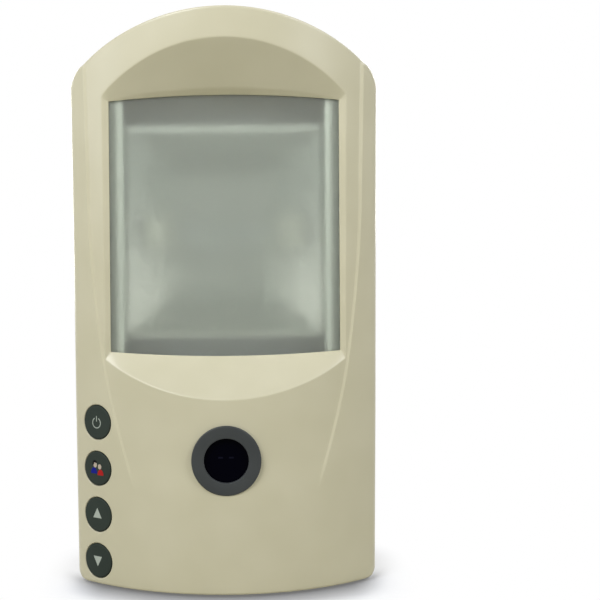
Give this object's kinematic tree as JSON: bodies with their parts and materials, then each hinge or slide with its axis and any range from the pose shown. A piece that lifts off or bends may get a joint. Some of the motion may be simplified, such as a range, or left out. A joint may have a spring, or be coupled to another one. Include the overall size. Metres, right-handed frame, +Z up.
{
  "type": "sun lamp",
  "caption": "Table-top facial sun lamp: bowed plastic housing, scooped window with frosted filter glass, reflector and quartz burner, cooling fan, round display and push buttons.",
  "frame": {"origin": "middle of the housing's footprint, at the underside of the feet", "axes": "+X to the viewer's right, +Y to the rear, +Z up"},
  "size_m": [0.231, 0.1306, 0.4219],
  "materials": {
    "housing_plastic": "cream moulded plastic with a fine satin grain",
    "screw_steel": "bright zinc",
    "foot_rubber": "matte black",
    "filter_glass": "frosted filter glass with a faint green tint",
    "gasket_silicone": "matte pale silicone",
    "rail_aluminium": "satin",
    "reflector_aluminium": "bright rolled",
    "sheet_steel": "zinc-plated sheet",
    "lamp_ceramic": "unglazed",
    "quartz_glass": "clear quartz",
    "bezel_plastic": "dark grey satin",
    "lens_acrylic": "black tinted, glossy",
    "dark_plastic": "satin",
    "circuit_board": "green solder mask",
    "button_rubber": "dark grey, soft matte",
    "core_steel": "varnished laminations",
    "coil_copper": "varnished copper winding",
    "relay_plastic": "gloss",
    "can_aluminium": "satin",
    "terminal_plastic": "natural white",
    "gland_rubber": "matte black",
    "fan_plastic": "satin black"
  },
  "bodies": {
    "housing": {"front_shell": "housing_plastic", "rear_cover": "housing_plastic", "case_screws": "screw_steel", "rubber_feet": "foot_rubber", "filter_glass": "filter_glass", "glass_gasket": "gasket_silicone", "glass_rail_left": "rail_aluminium", "glass_rail_right": "rail_aluminium", "rail_screws": "screw_steel", "reflector": "reflector_aluminium", "lamp_bracket": "sheet_steel", "bracket_screws": "screw_steel", "lamp_socket_left": "lamp_ceramic", "lamp_socket_right": "lamp_ceramic", "quartz_lamp": "quartz_glass", "lamp_caps": "lamp_ceramic", "thermal_cutout": "sheet_steel", "chassis_plate": "sheet_steel", "chassis_screws": "screw_steel", "heat_shield": "sheet_steel", "display_bezel": "bezel_plastic", "bezel_clip": "sheet_steel", "display_lens": "lens_acrylic", "display_module": "dark_plastic", "control_board": "circuit_board", "control_board_screws": "screw_steel", "button_board": "circuit_board", "button_switches": "dark_plastic", "button_board_screws": "screw_steel", "ballast_core": "core_steel", "ballast_coil": "coil_copper", "ballast_screws": "screw_steel", "power_board": "circuit_board", "power_board_screws": "screw_steel", "relay": "relay_plastic", "capacitor": "can_aluminium", "supply_transformer": "core_steel", "fuse_holder": "dark_plastic", "terminal_block": "terminal_plastic", "cord_gland": "gland_rubber", "gland_nut": "dark_plastic", "fan_frame": "fan_plastic", "fan_screws": "screw_steel"},
    "power_key": {"power_button": "button_rubber", "power_plunger": "dark_plastic"},
    "user_key": {"user_button": "button_rubber", "user_plunger": "dark_plastic"},
    "up_key": {"up_button": "button_rubber", "up_plunger": "dark_plastic"},
    "down_key": {"down_button": "button_rubber", "down_plunger": "dark_plastic"},
    "fan": {"fan_rotor": "fan_plastic"}
  },
  "joints": [
    {"name": "power_press", "type": "slide", "parent": "housing", "child": "power_key", "axis": [0.5679, 0.8231, 0], "range_m": [0, 0.0009], "stiffness_N_per_m": 500, "springref_m": -0.002},
    {"name": "user_press", "type": "slide", "parent": "housing", "child": "user_key", "axis": [0.5679, 0.8231, 0], "range_m": [0, 0.0009], "stiffness_N_per_m": 500, "springref_m": -0.002},
    {"name": "up_press", "type": "slide", "parent": "housing", "child": "up_key", "axis": [0.5679, 0.8231, 0], "range_m": [0, 0.0009], "stiffness_N_per_m": 500, "springref_m": -0.002},
    {"name": "down_press", "type": "slide", "parent": "housing", "child": "down_key", "axis": [0.5679, 0.8231, 0], "range_m": [0, 0.0009], "stiffness_N_per_m": 500, "springref_m": -0.002},
    {"name": "fan_spin", "type": "hinge", "parent": "housing", "child": "fan", "pos_m": [0, 0.05, 0.266], "axis": [0, 1, 0], "continuous": true}
  ]
}
